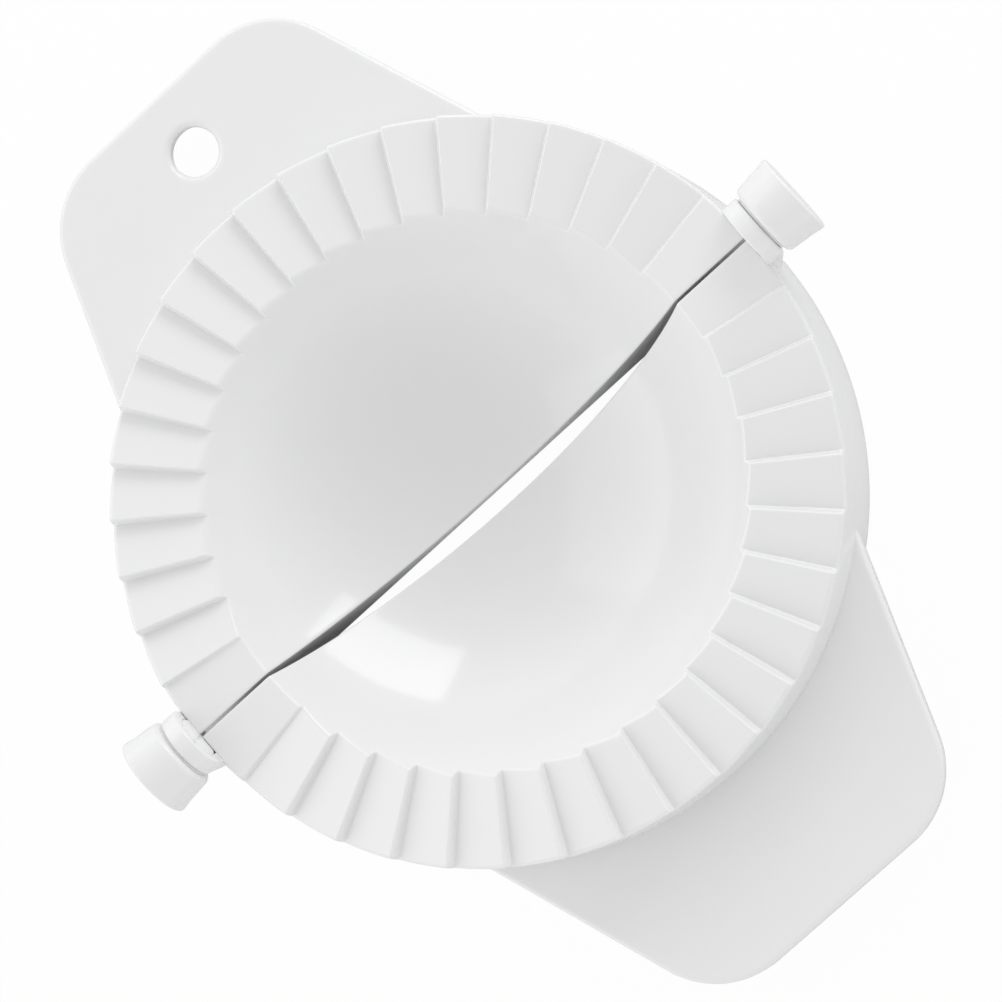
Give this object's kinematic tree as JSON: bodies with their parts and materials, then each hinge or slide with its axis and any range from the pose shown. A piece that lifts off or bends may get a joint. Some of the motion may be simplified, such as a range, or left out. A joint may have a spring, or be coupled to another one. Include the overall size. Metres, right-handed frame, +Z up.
{
  "type": "dumpling wrapper press",
  "caption": "Hinged press that folds filled dough wrappers: half-bowl moulds with meshing pleated rims, flat handles, a hanging hole and round hinge caps.",
  "frame": {"origin": "middle of the part's box at the foot of the skirts, where it stands on the table; the hinge line is above it", "axes": "+X along the hinge line, +Y towards the half with the hanging hole, +Z up, out of the open bowls"},
  "size_m": [0.0946, 0.1182, 0.024],
  "materials": {
    "white_plastic": "gloss"
  },
  "bodies": {
    "hanging_half": {"mould_half_hanging": "white_plastic", "hinge_cap_right": "white_plastic", "hinge_cap_left": "white_plastic"},
    "plain_half": {"mould_half_plain": "white_plastic"}
  },
  "joints": [
    {"name": "fold", "type": "hinge", "parent": "hanging_half", "child": "plain_half", "pos_m": [0, 0, 0.0193], "axis": [-1, 0, 0], "range_deg": [-6, 180]}
  ]
}
